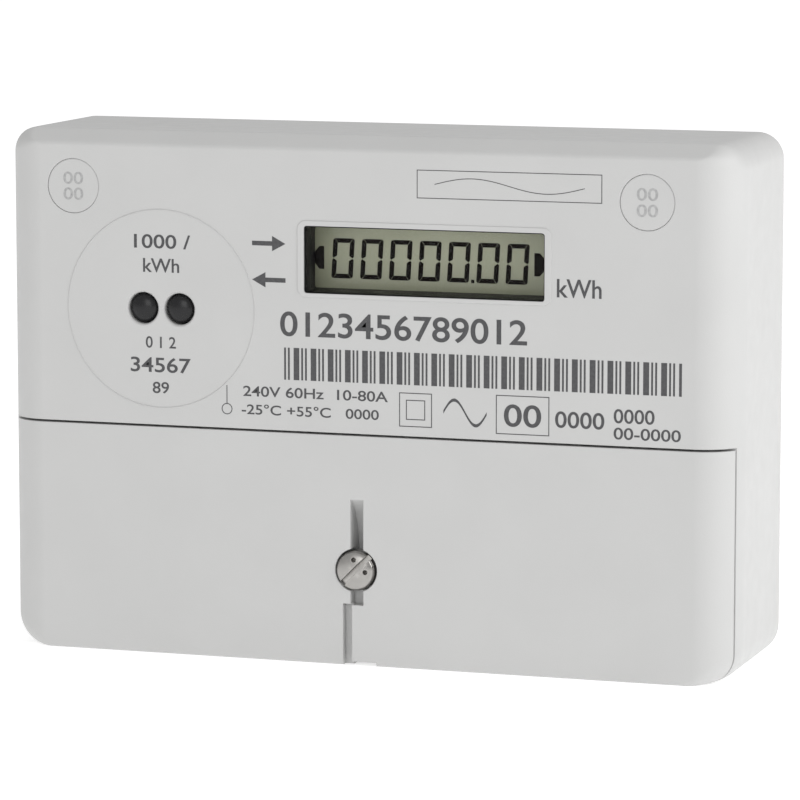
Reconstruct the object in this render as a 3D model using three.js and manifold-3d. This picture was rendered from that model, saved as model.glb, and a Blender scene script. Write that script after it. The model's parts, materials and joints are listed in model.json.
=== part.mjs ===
// A single-phase smart electricity meter: a deep moulded case with a display, an optical port and
// a screwed terminal cover over four cable terminals.
//
// Millimetres. X runs across the face, Y from the front (-) to the wall (+), Z up.
// The origin is under the middle of the case, on the surface it stands on.

import * as THREE from 'three';
import { mergeVertices } from 'three/addons/utils/BufferGeometryUtils.js';
import Module from 'manifold-3d';

const wasm = await Module();
wasm.setup();

// ---------------------------------------------------------------- driving dimensions

const width = 130;
const height = 90;
const depth = 32;

const wall = 2.2;                 // thickness of the moulded shells
const gap = 0.3;                  // clearance between pieces that touch
const past = 1;                   // how far a cutting shape runs beyond what it cuts

const front = -depth / 2;
const back = depth / 2;
const side = width / 2;

const topCorner = 4.5;            // outline corners, seen from the front
const bottomCorner = 5.5;
const edgeRadius = 7.2;           // upright front edges
const lipRadius = 0.5;            // bottom front edge
const slope = { high: 2.2, deep: 4 };  // from the top down to the front edge

const seamHeight = 39.6;          // where the terminal cover meets the main cover
const seamGap = 0.4;
const skirtDepth = 3.7;           // how far the terminal cover wraps round the case

const faceCentre = -1.1;          // the moulded details are laid out about this line

// ---------------------------------------------------------------- places on the face

const display = { x: faceCentre + 12.15, z: 69.1, wide: 42.3, high: 11.4 };
const port = {
  x: faceCentre - 34.9,
  z: 59.8,
  lensPitch: 6.6,
  lensRadius: 2.5,
  ring: { outer: 15.6, inner: 8.5, thickness: 1 },
};
const plug = { x: 50.8, z: 80.4, radius: 4.7 };
const lock = { x: faceCentre, z: 16.3, headRadius: 3.4 };

// ---------------------------------------------------------------- levels inside the case

const innerFront = front + wall;
const plateFront = back - 2.6;    // front face of the rear base plate
const boardBack = -0.4;
const boardFront = boardBack - 1.6;
const boardOutline = { halfWide: 44, bottom: 44, top: 86.5, corner: 1.5 };
const glassFront = front + 7.6;   // the display glass lies this deep behind the face
const glassThickness = 2.8;
const glass = { left: display.x - 24.2, right: display.x + 24.6, bottom: 61.3, top: 77.7 };
const bossBack = front + 12;      // the main cover's screw bosses end here
const plugSeat = front + 7;       // floor of each boss pocket
const shelfThickness = 2;
const shelfBack = 3;
const shelfBottom = seamHeight + seamGap / 2;

// ---------------------------------------------------------------- terminals

const terminalX = [-42, -16, 16, 42];
const terminal = { wide: 12.8, front: -5, back: 8, bottom: 8, top: 31 };
const bore = { y: 1.5, radius: 4.25, top: 28.5, entryRadius: 5.6 };
const clampZ = [14, 25];
const clamp = { shankRadius: 2.95, headRadius: 3.7, headHeight: 2.5, headBack: -10.5, tip: -3 };
const holder = { front: -9, back: 13, bottom: 2.6, top: 38.9, halfWide: 57 };
const fixing = { x: 29, z: 9.5, radius: 3.2, headRadius: 5, seat: 6 };
const fit = 0.4;                  // room round the metal parts in the terminal block

// Straps behind the terminals and the wires that leave them.
const strap = { front: terminal.back + 0.4, thickness: 1.8 };
const link = { x: 22.5, z0: 10, z1: 18.4 };
const shunt = { x: 48, gapX: 8, z0: 22, z1: 30, neck: 0.6 };
const senseX = 9.6;
const supply = { x: 18.5, z0: 13 };

// ---------------------------------------------------------------- posts and hanger on the base

const boardPost = {
  places: [[-40, 47.5], [40, 47.5], [-40, 83], [40, 83]],
  radius: 3,
  hole: 1.1,
  holeEnd: 6,
};
const coverPost = { radius: 4.4, hole: 2, holeEnd: 8 };
const hanger = {
  front: 5,
  wall: 2.4,
  halfWide: 9,
  bottom: 65,
  top: 86.4,
  entryZ: 73,
  entryRadius: 4.8,
  slotTop: 82,
  slotHalf: 2.4,
};

// ---------------------------------------------------------------- cover screw

const lockHead = { front: front - 0.8, height: 3.8, dome: 1.1 };
const lockSeat = lockHead.front + lockHead.height + gap;
const lockFloor = 1.2;            // cover material left under the screw head
const lockBoss = { back: holder.front - 0.4, halfWide: 6.5, bottom: 6, top: 31 };
const lockTravel = 3.5;
const washer = { radius: 4, thickness: 0.6 };
const washerFront = lockSeat + lockFloor + lockTravel + gap;
const insert = {
  front: washerFront + washer.thickness + 0.8,
  back: 1,
  radius: 3.2,
  hole: 2.15,
  groove: 0.5,
};
const lockShankRadius = 1.95;
const lockTip = insert.front + lockTravel;

// ---------------------------------------------------------------- colours and finishes

const finish = {
  caseGrey: { color: 0xbebebd, roughness: 0.5, metalness: 0 },
  baseGrey: { color: 0xc4c4c3, roughness: 0.55, metalness: 0 },
  blockBlack: { color: 0x2b2c2e, roughness: 0.5, metalness: 0 },
  clear: { color: 0xe9efef, roughness: 0.05, metalness: 0 },
  glass: { color: 0x8f9382, roughness: 0.12, metalness: 0 },
  darkPlastic: { color: 0x232323, roughness: 0.6, metalness: 0 },
  blackLens: { color: 0x08080a, roughness: 0.08, metalness: 0 },
  rubber: { color: 0x4a4a4c, roughness: 0.8, metalness: 0 },
  plated: { color: 0xc6c4bf, roughness: 0.25, metalness: 1 },
  brass: { color: 0xb9975a, roughness: 0.35, metalness: 1 },
  copper: { color: 0xb87355, roughness: 0.35, metalness: 1 },
  manganin: { color: 0x9a8f86, roughness: 0.4, metalness: 1 },
  board: { color: 0x1f5a38, roughness: 0.5, metalness: 0 },
  chip: { color: 0x1c1c1e, roughness: 0.6, metalness: 0 },
  can: { color: 0xb9bcc0, roughness: 0.3, metalness: 1 },
  filmCapacitor: { color: 0xc9a227, roughness: 0.5, metalness: 0 },
  sleeve: { color: 0x24304a, roughness: 0.45, metalness: 0 },
  ceramic: { color: 0x2f5f8f, roughness: 0.5, metalness: 0 },
  wireRed: { color: 0xa8322c, roughness: 0.5, metalness: 0 },
  wireBlue: { color: 0x2f4f9a, roughness: 0.5, metalness: 0 },
};

// ---------------------------------------------------------------- turning shapes into solids

function toSolid(geometry) {
  const plain = geometry.index ? geometry.toNonIndexed() : geometry.clone();
  plain.deleteAttribute('normal');
  plain.deleteAttribute('uv');
  const merged = mergeVertices(plain, 1e-4);
  const mesh = new wasm.Mesh({
    numProp: 3,
    vertProperties: new Float32Array(merged.attributes.position.array),
    triVerts: new Uint32Array(merged.index.array),
  });
  return new wasm.Manifold(mesh);
}

function toGeometry(solid) {
  const mesh = solid.getMesh();
  const geometry = new THREE.BufferGeometry();
  geometry.setAttribute('position', new THREE.BufferAttribute(mesh.vertProperties, 3));
  geometry.setIndex(new THREE.BufferAttribute(mesh.triVerts, 1));
  return geometry;
}

// ---------------------------------------------------------------- basic shapes, placed by their limits

function block(x0, x1, y0, y1, z0, z1) {
  const geometry = new THREE.BoxGeometry(x1 - x0, y1 - y0, z1 - z0);
  geometry.translate((x0 + x1) / 2, (y0 + y1) / 2, (z0 + z1) / 2);
  return toSolid(geometry);
}

function rodX(y, z, radius, x0, x1, sides = 24) {
  const geometry = new THREE.CylinderGeometry(radius, radius, x1 - x0, sides);
  geometry.rotateZ(-Math.PI / 2);
  geometry.translate((x0 + x1) / 2, y, z);
  return toSolid(geometry);
}

function rodY(x, z, radius, y0, y1, sides = 24) {
  const geometry = new THREE.CylinderGeometry(radius, radius, y1 - y0, sides);
  geometry.translate(x, (y0 + y1) / 2, z);
  return toSolid(geometry);
}

function rodZ(x, y, radius, z0, z1, sides = 24) {
  const geometry = new THREE.CylinderGeometry(radius, radius, z1 - z0, sides);
  geometry.rotateX(Math.PI / 2);
  geometry.translate(x, y, (z0 + z1) / 2);
  return toSolid(geometry);
}

// A profile of [radius, distance] points turned about a line along Y, with y growing from y0.
function turnedY(x, z, y0, profile, sides = 20) {
  const points = profile.map(([radius, distance]) => new THREE.Vector2(radius, distance));
  const geometry = new THREE.LatheGeometry(points, sides);
  geometry.translate(x, y0, z);
  return toSolid(geometry);
}

// An outline in two axes pushed along the third. The basis says which way the outline's own
// two directions and its thickness point.
function prism(shape, thickness, basis, origin, curveSegments = 8) {
  const geometry = new THREE.ExtrudeGeometry(shape, { depth: thickness, bevelEnabled: false, curveSegments });
  geometry.applyMatrix4(new THREE.Matrix4().makeBasis(...basis).setPosition(...origin));
  return toSolid(geometry);
}

const alongX = new THREE.Vector3(1, 0, 0);
const alongY = new THREE.Vector3(0, 1, 0);
const alongZ = new THREE.Vector3(0, 0, 1);

// Outline in X and Z, from y0 to y1.
function prismY(shape, y0, y1) {
  return prism(shape, y1 - y0, [alongX, alongZ, alongY.clone().negate()], [0, y1, 0]);
}

// Outline in X and Y, from z0 to z1.
function prismZ(shape, z0, z1) {
  return prism(shape, z1 - z0, [alongX, alongY, alongZ], [0, 0, z0]);
}

// Outline in Y and Z, from x0 to x1.
function prismX(shape, x0, x1) {
  return prism(shape, x1 - x0, [alongY, alongZ, alongX], [x0, 0, 0]);
}

// A rectangle whose corner radii are given in the order: low-low, high-low, high-high, low-high.
function roundedRectangle(u0, u1, v0, v1, radii) {
  const [a, b, c, d] = radii;
  const turn = Math.PI / 2;
  const shape = new THREE.Shape();
  shape.moveTo(u0 + a, v0);
  shape.lineTo(u1 - b, v0);
  if (b) shape.absarc(u1 - b, v0 + b, b, -turn, 0);
  shape.lineTo(u1, v1 - c);
  if (c) shape.absarc(u1 - c, v1 - c, c, 0, turn);
  shape.lineTo(u0 + d, v1);
  if (d) shape.absarc(u0 + d, v1 - d, d, turn, 2 * turn);
  shape.lineTo(u0, v0 + a);
  if (a) shape.absarc(u0 + a, v0 + a, a, 2 * turn, 3 * turn);
  shape.closePath();
  return shape;
}

function minus(solid, ...cuts) {
  return cuts.reduce((left, cut) => left.subtract(cut), solid);
}

function plus(solid, ...more) {
  return more.reduce((sum, piece) => sum.add(piece), solid);
}

// ---------------------------------------------------------------- the case outline

// The whole case as one rounded block, drawn in from the outside by inset, and ending at yBack.
function caseBlock(inset, yBack = back) {
  const x = side - inset;
  const z0 = inset;
  const z1 = height - inset;
  const y0 = front + inset;
  const bottom = bottomCorner - inset;
  const top = topCorner - inset;
  const edge = edgeRadius - inset;
  const rest = Math.max(1 - inset / slope.high, 0.1);
  const frontView = prismY(roundedRectangle(-x, x, z0, z1, [bottom, bottom, top, top]), y0, yBack);
  const planView = prismZ(roundedRectangle(-x, x, y0, yBack, [edge, edge, 0, 0]), z0, z1);
  const sideShape = new THREE.Shape();
  sideShape.moveTo(yBack, z0);
  sideShape.lineTo(yBack, z1);
  sideShape.lineTo(y0 + slope.deep * rest, z1);
  sideShape.lineTo(y0, z1 - slope.high * rest);
  sideShape.lineTo(y0, z0 + lipRadius);
  sideShape.absarc(y0 + lipRadius, z0 + lipRadius, lipRadius, Math.PI, 1.5 * Math.PI);
  sideShape.closePath();
  return frontView.intersect(planView).intersect(prismX(sideShape, -x, x));
}

const everything = side + 5;

// ---------------------------------------------------------------- covers and base

function mainCover() {
  const skirtBack = front + skirtDepth + gap;
  let shell = caseBlock(0).subtract(caseBlock(wall, back + past));
  const terminalOpening = block(-everything, everything, front - past, skirtBack, -past, shelfBottom);
  shell = shell.subtract(terminalOpening);
  const shelf = block(-everything, everything, front, shelfBack, shelfBottom, shelfBottom + shelfThickness);
  shell = shell.add(shelf.intersect(caseBlock(wall / 2)));
  const shankHole = coverScrewSize.shankRadius + 0.4;
  for (const x of [faceCentre - plug.x, faceCentre + plug.x]) {
    shell = shell.add(rodY(x, plug.z, plug.radius + wall, innerFront - wall / 2, bossBack));
    shell = shell.subtract(rodY(x, plug.z, plug.radius + gap / 2, front - past, plugSeat, 36));
    shell = shell.subtract(rodY(x, plug.z, shankHole, plugSeat - past, bossBack + past));
  }
  for (const x of [-port.lensPitch / 2, port.lensPitch / 2]) {
    shell = shell.subtract(rodY(port.x + x, port.z, port.lensRadius + gap, front - past, innerFront + past));
  }
  for (const x of terminalX) {
    shell = shell.subtract(rodZ(x, bore.y, bore.entryRadius, -past, wall + past, 32));
  }
  return shell.subtract(displayOpening(0, front - past, innerFront + past));
}

// The window opening, grown on every side by more.
function displayOpening(more, y0, y1) {
  const { x, z } = display;
  const halfWide = display.wide / 2 + more;
  const halfHigh = display.high / 2 + more;
  return block(x - halfWide, x + halfWide, y0, y1, z - halfHigh, z + halfHigh);
}

// A clear pane flush with the face, on a wider flange that is held behind the opening.
function displayWindow() {
  const flange = { overlap: 1.6, front: innerFront + gap, thickness: 0.8 };
  const pane = displayOpening(-gap, front + 0.1, flange.front + flange.thickness / 2);
  return pane.add(displayOpening(flange.overlap, flange.front, flange.front + flange.thickness));
}

function terminalCover() {
  const top = seamHeight - seamGap / 2;
  const skirt = block(-everything, everything, front - past, front + skirtDepth, -past, top);
  const inside = block(-everything, everything, front, front + depth, 0, top - wall);
  let cover = caseBlock(0).intersect(skirt).subtract(caseBlock(wall).intersect(inside));
  const { halfWide, bottom, top: bossTop } = lockBoss;
  const boss = [lock.x - halfWide, lock.x + halfWide, innerFront - wall / 2, lockBoss.back, bottom, bossTop];
  cover = cover.add(block(...boss));
  return minus(cover, ...lockCuts(), ...wireGrooves());
}

// The recess round the screw head, the hole for its shank, and the space behind that the
// captive washer travels in.
function lockCuts() {
  return [
    rodY(lock.x, lock.z, lock.headRadius + 0.4, front - past, lockSeat, 36),
    rodY(lock.x, lock.z, 2.3, front, 0),
    rodY(lock.x, lock.z, washer.radius + gap, lockSeat + lockFloor, 0),
  ];
}

// Channels for the sealing wire: one cut by a disc above the screw, and a stepped one below it
// that runs out through the bottom edge beside a low notch.
function wireGrooves() {
  const disc = { radius: 10, depth: 4.5, top: 28.5 };
  const reach = disc.radius - disc.depth;
  const discZ = disc.top - Math.sqrt(disc.radius ** 2 - reach ** 2);
  const channelLeft = lock.x - 0.8;
  const channelRight = lock.x + 1.5;
  const stepHeight = 10.5;
  const lowerLeft = lock.x - 2.15;
  const lowerRight = lock.x - 0.55;
  const notchRight = lock.x + 3.8;
  const upperHalf = block(channelLeft, channelRight, front - past, 0, lock.z, disc.top + past);
  return [
    rodX(front - reach, discZ, disc.radius, channelLeft, channelRight, 64).intersect(upperHalf),
    block(channelLeft, channelRight, front - past, front + 2.4, stepHeight - 0.1, lock.z),
    block(lowerLeft, lowerRight, front - past, front + 1.6, -past, stepHeight + 0.1),
    block(lowerRight - 0.1, notchRight, front - past, front + skirtDepth + past, -past, 0.65),
  ];
}

function rearBase() {
  const inset = wall + gap;
  const bottom = bottomCorner - inset;
  const top = topCorner - inset;
  const outline = [-side + inset, side - inset, inset, height - inset];
  let base = prismY(roundedRectangle(...outline, [bottom, bottom, top, top]), plateFront, back);
  for (const [x, z] of boardPost.places) {
    base = base.add(rodY(x, z, boardPost.radius, boardBack + gap, plateFront + past, 16));
    base = base.subtract(rodY(x, z, boardPost.hole, boardBack, boardPost.holeEnd, 12));
  }
  for (const x of [faceCentre - plug.x, faceCentre + plug.x]) {
    base = base.add(rodY(x, plug.z, coverPost.radius, bossBack + gap, plateFront + past, 16));
    base = base.subtract(rodY(x, plug.z, coverPost.hole, bossBack, coverPost.holeEnd, 16));
  }
  const { halfWide } = hanger;
  base = base.add(block(-halfWide, halfWide, hanger.front, plateFront + past, hanger.bottom, hanger.top));
  base = minus(base, ...hangerCuts());
  for (const x of [-fixing.x, fixing.x]) {
    base = base.subtract(rodY(x, fixing.z, fixing.radius, plateFront - past, back + past));
  }
  return base;
}

// A keyhole in the back with a pocket behind it for the head of a wall screw.
function hangerCuts() {
  const { wall: skin, entryZ, entryRadius, slotTop, slotHalf } = hanger;
  const inner = hanger.halfWide - skin;
  return [
    block(-inner, inner, hanger.front + skin, plateFront, hanger.bottom + skin, hanger.top - skin),
    rodY(0, entryZ, entryRadius, plateFront - past, back + past, 16),
    block(-slotHalf, slotHalf, plateFront - past, back + past, entryZ, slotTop),
  ];
}

// ---------------------------------------------------------------- fasteners

// A slotted, slightly domed head on a plain shank with a chamfered end, pointing along +Y from y0.
function slottedScrew({ x, z, y0, headRadius, headHeight, dome, domeSteps, shankRadius, tip, slotAngle }) {
  const chamfer = 0.4;
  const reach = tip - y0;
  const crown = Array.from({ length: domeSteps }, (_, i) => {
    const t = i / domeSteps;
    return [headRadius * Math.sin(t * Math.PI / 2), dome * (1 - Math.cos(t * Math.PI / 2))];
  });
  const profile = [
    ...crown,
    [headRadius, dome],
    [headRadius, headHeight],
    [shankRadius, headHeight],
    [shankRadius, reach - chamfer],
    [shankRadius - chamfer, reach],
    [0, reach],
  ];
  const slotWidth = headRadius * 0.3;
  const slotDepth = dome + 1;
  const slot = new THREE.BoxGeometry(2.5 * headRadius, 2 * slotDepth, slotWidth);
  slot.rotateY(-slotAngle);
  slot.translate(x, y0, z);
  return turnedY(x, z, y0, profile).subtract(toSolid(slot));
}

function lockScrew() {
  return slottedScrew({
    x: lock.x,
    z: lock.z,
    y0: lockHead.front,
    headRadius: lock.headRadius,
    headHeight: lockHead.height,
    dome: lockHead.dome,
    domeSteps: 5,
    shankRadius: lockShankRadius,
    tip: lockTip,
    slotAngle: Math.PI / 4,
  });
}

function clampScrew(x, z, turn) {
  return slottedScrew({
    x,
    z,
    y0: clamp.headBack - clamp.headHeight,
    headRadius: clamp.headRadius,
    headHeight: clamp.headHeight,
    dome: 0.4,
    domeSteps: 2,
    shankRadius: clamp.shankRadius,
    tip: clamp.tip,
    slotAngle: turn,
  });
}

// A ring about a line along Y.
function ringY(x, z, outer, inner, y0, y1, sides = 32) {
  return rodY(x, z, outer, y0, y1, sides).subtract(rodY(x, z, inner, y0 - past, y1 + past, sides));
}

// The steel ring behind the face that holds a reading probe's magnet.
function portRing() {
  const { outer, inner, thickness } = port.ring;
  const y0 = innerFront + gap;
  return ringY(port.x, port.z, outer, inner, y0, y0 + thickness, 48);
}

const coverScrewSize = {
  headRadius: 3.4,
  headHeight: 2.2,
  shankRadius: 1.7,
  tip: 7,
  recess: [3.6, 2.4, 0.8],
};
const coverScrewFront = plugSeat - gap - coverScrewSize.headHeight;

// The washer that travels with the cover screw and keeps it in the cover.
function captiveWasher() {
  const hole = lockShankRadius + 0.1;
  return ringY(lock.x, lock.z, washer.radius, hole, washerFront, washerFront + washer.thickness);
}

// A cross-head screw at the bottom of a boss pocket.
function coverScrew(x) {
  const { headRadius, shankRadius, tip, recess } = coverScrewSize;
  const head = rodY(x, plug.z, headRadius, coverScrewFront, plugSeat - gap, 20);
  const shank = rodY(x, plug.z, shankRadius, plugSeat - gap - past, tip, 16);
  const cross = [0, Math.PI / 2].map((turn) => {
    const arm = new THREE.BoxGeometry(...recess);
    arm.rotateY(turn);
    arm.translate(x, coverScrewFront, plug.z);
    return toSolid(arm);
  });
  return minus(head.add(shank), ...cross);
}

// The plug pressed into a boss pocket over the screw: a disc flush with the face, and a stem.
function sealPlug(x) {
  const discThickness = 2.3;
  const discFront = front + 0.1;
  const discBack = discFront + discThickness;
  const disc = rodY(x, plug.z, plug.radius - 0.05, discFront, discBack, 36);
  const stem = rodY(x, plug.z, coverScrewSize.headRadius - 0.2, discBack - 0.4, coverScrewFront - gap, 20);
  return disc.add(stem);
}

function boardScrew(x, z) {
  const head = { radius: 2.4, height: 1.4, back: boardFront - gap };
  const shank = { radius: 0.85, tip: 5 };
  const top = rodY(x, z, head.radius, head.back - head.height, head.back, 16);
  return top.add(rodY(x, z, shank.radius, head.back - head.height / 2, shank.tip, 12));
}

// ---------------------------------------------------------------- terminals and current path

function terminalHolder() {
  const { halfWide } = holder;
  let body = block(-halfWide, halfWide, holder.front, holder.back, holder.bottom, holder.top);
  const room = terminal.wide / 2 + fit;
  const pocket = [holder.front - past, terminal.back + past, terminal.bottom - fit, terminal.top + fit];
  for (const x of terminalX) {
    body = body.subtract(block(x - room, x + room, ...pocket));
    body = body.subtract(rodZ(x, bore.y, bore.entryRadius - gap, holder.bottom - past, terminal.bottom));
  }
  for (const x of [-fixing.x, fixing.x]) {
    body = body.subtract(rodY(x, fixing.z, fixing.radius, holder.front, back, 16));
    body = body.subtract(rodY(x, fixing.z, fixing.headRadius, holder.front - past, fixing.seat, 16));
  }
  return minus(body, ...holderChannels());
}

// Room for the screw insert, the captive washer, the two straps and the wires that leave them.
function holderChannels() {
  const round = 1;
  const upper = { z0: shunt.z0 - round, z1: terminal.top + fit };
  return [
    rodY(lock.x, lock.z, insert.radius + gap / 2, holder.front - past, insert.back + gap),
    rodY(lock.x, lock.z, washer.radius + 2 * gap, holder.front - past, insert.front - 0.2),
    block(-link.x - round, link.x + round, terminal.back, back, link.z0 - round, link.z1 + round),
    block(-shunt.x - 1.5, shunt.x + 1.5, terminal.back, back, upper.z0, upper.z1),
    block(-senseX - 2.4, supply.x + 2, terminal.back, back, upper.z1 - past, height),
    block(supply.x - 2, supply.x + 2, strap.front + strap.thickness, back, supply.z0 + past, height),
  ];
}

function brassTerminal(x) {
  const halfWide = terminal.wide / 2;
  const { front: y0, back: y1, bottom, top } = terminal;
  const body = block(x - halfWide, x + halfWide, y0, y1, bottom, top);
  const threads = clampZ.map((z) => rodY(x, z, clamp.shankRadius + 0.2, terminal.front - past, bore.y));
  return minus(body, rodZ(x, bore.y, bore.radius, terminal.bottom - past, bore.top, 32), ...threads);
}

function threadedInsert() {
  const body = ringY(lock.x, lock.z, insert.radius, insert.hole, insert.front, insert.back, 24);
  const middle = (insert.front + insert.back) / 2;
  const grooveLimits = [middle - insert.groove, middle + insert.groove];
  return body.subtract(ringY(lock.x, lock.z, insert.radius + past, insert.radius - 0.4, ...grooveLimits, 24));
}

function strapPiece(x0, x1, z0, z1) {
  return block(x0, x1, strap.front, strap.front + strap.thickness, z0, z1);
}

// The narrow bar of resistance alloy between the two copper ends of the shunt.
function shuntBar() {
  const halfWide = shunt.gapX - gap;
  return strapPiece(-halfWide, halfWide, shunt.z0 + shunt.neck, shunt.z1 - shunt.neck);
}

// A round wire through the given points.
function wire(points, radius = 0.6) {
  const route = new THREE.CatmullRomCurve3(points.map((p) => new THREE.Vector3(...p)));
  const section = new THREE.Shape();
  section.absarc(0, 0, radius, 0, 2 * Math.PI);
  const tube = new THREE.ExtrudeGeometry(section, { steps: 24, curveSegments: 4, extrudePath: route });
  return toSolid(tube);
}

// From the top edge of the shunt up to the back of the board.
function senseWire(x) {
  const y = strap.front + strap.thickness / 2;
  const z0 = shunt.z1 + 0.5;
  return wire([[x, y, z0], [x, y, z0 + 6], [x, y, z0 + 12], [x, 5, z0 + 17], [x, boardBack + gap, z0 + 18]]);
}

// From the neutral link, behind the shunt, up to the back of the board.
function supplyWire() {
  const { x, z0 } = supply;
  const y = strap.front + strap.thickness + 1.1;
  const upper = [[x, y, z0 + 25], [x, y - 3, z0 + 33], [x, boardBack + gap, z0 + 37]];
  return wire([[x, y, z0], [x, y, z0 + 12], ...upper]);
}

// ---------------------------------------------------------------- display and board

function displayGlass() {
  const { left, right, bottom, top } = glass;
  return block(left, right, glassFront, glassFront + glassThickness, bottom, top);
}

// A dark frame round the glass, with a well in front of it as wide as the window.
function displayHolder() {
  const rim = 2.5;
  const { left, right, bottom, top } = glass;
  const outer = [left - rim - gap, right + rim + gap];
  const frame = block(...outer, innerFront + 1.4, boardFront - gap, bottom - rim - gap, top + rim + gap);
  const pocket = block(left - gap, right + gap, glassFront - gap, 0, bottom - gap, top + gap);
  return minus(frame, pocket, displayOpening(0, front, glassFront));
}

// The rubber strip that joins the glass to the board along the top edge of the glass.
function contactStrip() {
  const inset = 2;
  const stripHeight = 2.2;
  const y0 = glassFront + glassThickness + gap;
  const z1 = glass.top - 0.5;
  return block(glass.left + inset, glass.right - inset, y0, boardFront - gap, z1 - stripHeight, z1);
}

function circuitBoard() {
  const { halfWide, bottom, top, corner } = boardOutline;
  const shape = roundedRectangle(-halfWide, halfWide, bottom, top, [corner, corner, corner, corner]);
  const holes = boardPost.places.map(([x, z]) => {
    return rodY(x, z, boardPost.radius / 2, boardFront - past, boardBack + past, 16);
  });
  return minus(prismY(shape, boardFront, boardBack), ...holes);
}

// A domed 5 mm lamp or light sensor standing on its two legs.
function opticalElement(x) {
  const r = port.lensRadius;
  const tip = front + 0.5;
  const body = { height: 7.4, total: 8.6, flangeRadius: r + 0.4 };
  const leg = { pitch: 2.54, half: 0.25 };
  const domeSteps = 6;
  const dome = Array.from({ length: domeSteps }, (_, i) => {
    const angle = (i / domeSteps) * (Math.PI / 2);
    return [r * Math.sin(angle), r * (1 - Math.cos(angle))];
  });
  const flange = [[body.flangeRadius, body.height], [body.flangeRadius, body.total]];
  const profile = [...dome, [r, r], [r, body.height], ...flange, [0, body.total]];
  const legs = [x - leg.pitch / 2, x + leg.pitch / 2].map((cx) => {
    const ends = [tip + body.height, boardFront - gap];
    return block(cx - leg.half, cx + leg.half, ...ends, port.z - leg.half, port.z + leg.half);
  });
  return plus(turnedY(x, port.z, tip, profile), ...legs);
}

function onBoardFront(x0, x1, z0, z1, thickness) {
  const y1 = boardFront - gap;
  return block(x0, x1, y1 - thickness, y1, z0, z1);
}

function onBoardBack(x0, x1, z0, z1, thickness) {
  const y0 = boardBack + gap;
  return block(x0, x1, y0, y0 + thickness, z0, z1);
}

// A can lying on the board, with a crimp near one end.
function capacitorCan() {
  const can = { radius: 5, left: 14, length: 16, z: 56, crimp: { offset: 1.2, width: 0.8, depth: 0.5 } };
  const y = boardBack + gap + can.radius;
  const x0 = can.left + can.crimp.offset;
  const x1 = x0 + can.crimp.width;
  const body = rodX(y, can.z, can.radius, can.left, can.left + can.length, 32);
  const sleeve = rodX(y, can.z, can.radius + past, x0, x1, 32);
  const core = rodX(y, can.z, can.radius - can.crimp.depth, x0 - past, x1 + past, 32);
  return body.subtract(sleeve.subtract(core));
}

function crystalCan() {
  const can = { left: 25, right: 36, bottom: 49, height: 4.6, depth: 3.5 };
  const end = can.height / 2;
  const top = can.bottom + can.height;
  const shape = roundedRectangle(can.left, can.right, can.bottom, top, [end, end, end, end]);
  const y1 = boardFront - gap;
  return prismY(shape, y1 - can.depth, y1);
}

// A disc varistor standing against the board's back, its flat sides facing left and right.
function varistor() {
  const disc = { radius: 6, left: 26, thickness: 4, z: 70 };
  return rodX(boardBack + gap + disc.radius, disc.z, disc.radius, disc.left, disc.left + disc.thickness, 24);
}

// Limits across the face, limits in height, and thickness of the boxed parts on the board.
const boxed = {
  microcontroller: [8, 20, 45.5, 57.5, 1.4],
  meteringChip: [-12, -4, 48, 54, 1.4],
  dropperCapacitor: [-36, -18, 62, 70, 11],
  bridgeRectifier: [-14, -7, 54, 60, 2.6],
};

// ---------------------------------------------------------------- the assembly

const group = new THREE.Group();

function addPiece(name, solid, look) {
  const mesh = new THREE.Mesh(toGeometry(solid), new THREE.MeshStandardMaterial(finish[look]));
  mesh.name = name;
  group.add(mesh);
}

addPiece('main_cover', mainCover(), 'caseGrey');
addPiece('rear_base', rearBase(), 'baseGrey');
addPiece('terminal_cover', terminalCover(), 'caseGrey');
addPiece('display_window', displayWindow(), 'clear');
addPiece('optical_port_ring', portRing(), 'plated');

for (const [name, x] of [['left', faceCentre - plug.x], ['right', faceCentre + plug.x]]) {
  addPiece(`seal_plug_${name}`, sealPlug(x), 'caseGrey');
  addPiece(`cover_screw_${name}`, coverScrew(x), 'plated');
}

addPiece('terminal_cover_screw', lockScrew(), 'plated');
addPiece('captive_washer', captiveWasher(), 'plated');
addPiece('threaded_insert', threadedInsert(), 'brass');

addPiece('terminal_block', terminalHolder(), 'blockBlack');
terminalX.forEach((x, i) => {
  addPiece(`terminal_${i + 1}`, brassTerminal(x), 'brass');
  addPiece(`clamp_screw_${i + 1}_lower`, clampScrew(x, clampZ[0], 0.5 + i), 'plated');
  addPiece(`clamp_screw_${i + 1}_upper`, clampScrew(x, clampZ[1], 1.4 - i), 'plated');
});

addPiece('neutral_link', strapPiece(-link.x, link.x, link.z0, link.z1), 'brass');
addPiece('shunt_copper_left', strapPiece(-shunt.x, -shunt.gapX, shunt.z0, shunt.z1), 'copper');
addPiece('shunt_resistance_bar', shuntBar(), 'manganin');
addPiece('shunt_copper_right', strapPiece(shunt.gapX, shunt.x, shunt.z0, shunt.z1), 'copper');
addPiece('sense_wire_left', senseWire(-senseX), 'wireRed');
addPiece('sense_wire_right', senseWire(senseX), 'wireRed');
addPiece('neutral_supply_wire', supplyWire(), 'wireBlue');

addPiece('circuit_board', circuitBoard(), 'board');
boardPost.places.forEach(([x, z], i) => addPiece(`board_screw_${i + 1}`, boardScrew(x, z), 'plated'));
addPiece('display_glass', displayGlass(), 'glass');
addPiece('display_holder', displayHolder(), 'darkPlastic');
addPiece('display_contact_strip', contactStrip(), 'rubber');
addPiece('infrared_emitter', opticalElement(port.x - port.lensPitch / 2), 'blackLens');
addPiece('infrared_receiver', opticalElement(port.x + port.lensPitch / 2), 'blackLens');

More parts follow.
